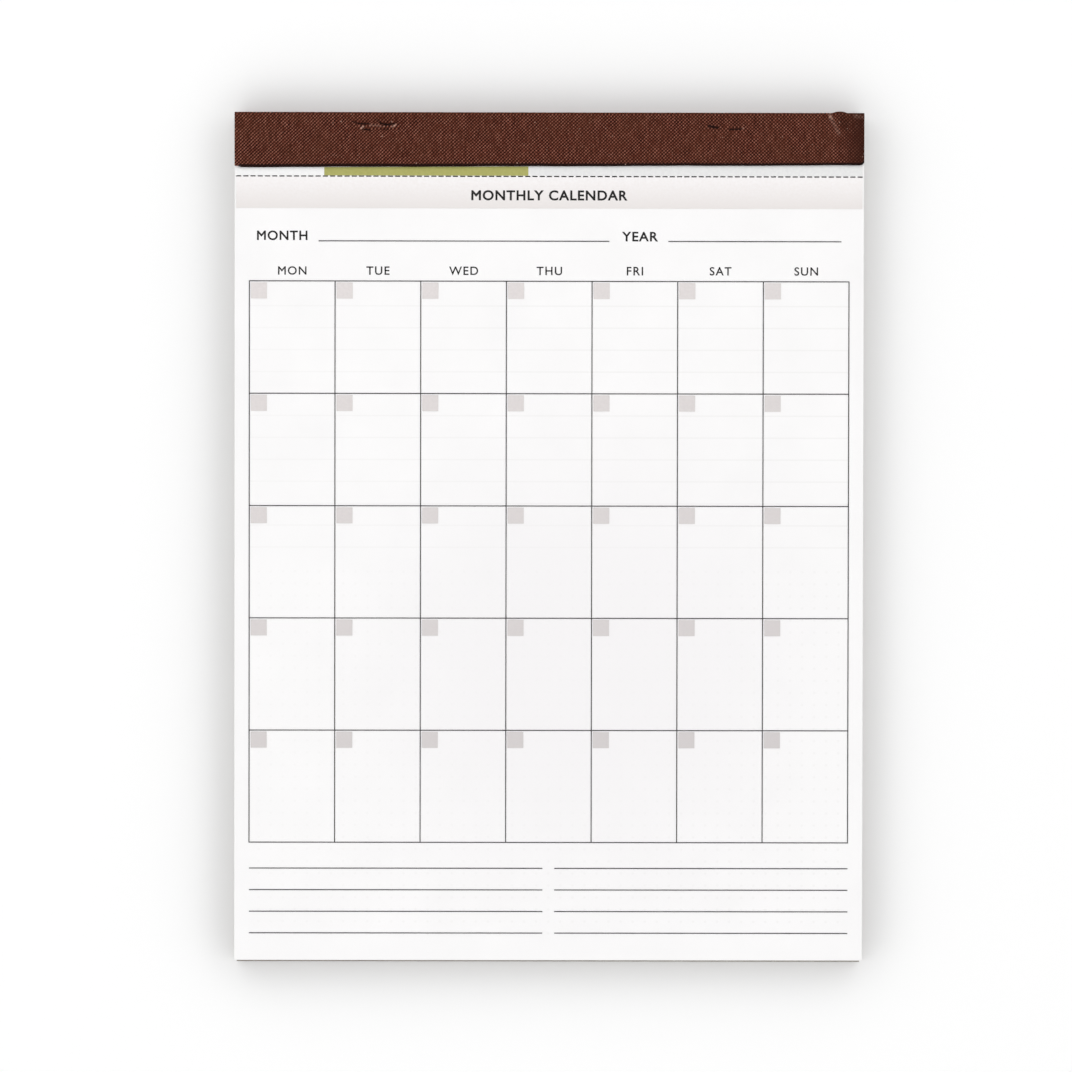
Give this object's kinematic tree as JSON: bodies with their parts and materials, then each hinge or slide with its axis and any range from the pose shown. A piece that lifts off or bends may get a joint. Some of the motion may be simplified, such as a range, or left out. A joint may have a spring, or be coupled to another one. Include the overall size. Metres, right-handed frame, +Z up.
{
  "type": "desk pad calendar",
  "caption": "Undated monthly desk pad: perforated tear-off sheets printed with a ruled grid on a greyboard back, stapled at the head under a folded brown cloth binding.",
  "frame": {"origin": "centre of the pad's footprint, on the desk under the back flap of the binding", "axes": "+X across the page to the reader's right, +Y up the page towards the bound head, +Z up out of the printed face"},
  "size_m": [0.216, 0.293, 0.0088],
  "materials": {
    "paper_sheets": "matt white offset paper",
    "greyboard": "raw grey board",
    "book_cloth": "brown woven book cloth, starched",
    "staple_wire": "bright galvanised wire",
    "green_ink": "olive green ink printed on paper",
    "stub_ink": "pale grey tint printed on paper",
    "band_ink": "pale warm grey tint printed on paper",
    "date_ink": "light grey tint printed on paper",
    "rule_ink": "dark grey line printed on paper"
  },
  "bodies": {
    "root": {"backing_board": "greyboard", "page_block": "paper_sheets", "staple_left": "staple_wire", "staple_right": "staple_wire", "head_binding": "book_cloth", "stub_tint_left": "stub_ink", "stub_colour_block": "green_ink", "stub_tint_right": "stub_ink", "header_band": "band_ink", "month_rule": "rule_ink", "year_rule": "rule_ink", "calendar_grid": "rule_ink", "date_box_1_1": "date_ink", "date_box_1_2": "date_ink", "date_box_1_3": "date_ink", "date_box_1_4": "date_ink", "date_box_1_5": "date_ink", "date_box_1_6": "date_ink", "date_box_1_7": "date_ink", "date_box_2_1": "date_ink", "date_box_2_2": "date_ink", "date_box_2_3": "date_ink", "date_box_2_4": "date_ink", "date_box_2_5": "date_ink", "date_box_2_6": "date_ink", "date_box_2_7": "date_ink", "date_box_3_1": "date_ink", "date_box_3_2": "date_ink", "date_box_3_3": "date_ink", "date_box_3_4": "date_ink", "date_box_3_5": "date_ink", "date_box_3_6": "date_ink", "date_box_3_7": "date_ink", "date_box_4_1": "date_ink", "date_box_4_2": "date_ink", "date_box_4_3": "date_ink", "date_box_4_4": "date_ink", "date_box_4_5": "date_ink", "date_box_4_6": "date_ink", "date_box_4_7": "date_ink", "date_box_5_1": "date_ink", "date_box_5_2": "date_ink", "date_box_5_3": "date_ink", "date_box_5_4": "date_ink", "date_box_5_5": "date_ink", "date_box_5_6": "date_ink", "date_box_5_7": "date_ink", "note_rule_left_1": "rule_ink", "note_rule_left_2": "rule_ink", "note_rule_left_3": "rule_ink", "note_rule_left_4": "rule_ink", "note_rule_right_1": "rule_ink", "note_rule_right_2": "rule_ink", "note_rule_right_3": "rule_ink", "note_rule_right_4": "rule_ink"}
  },
  "joints": []
}
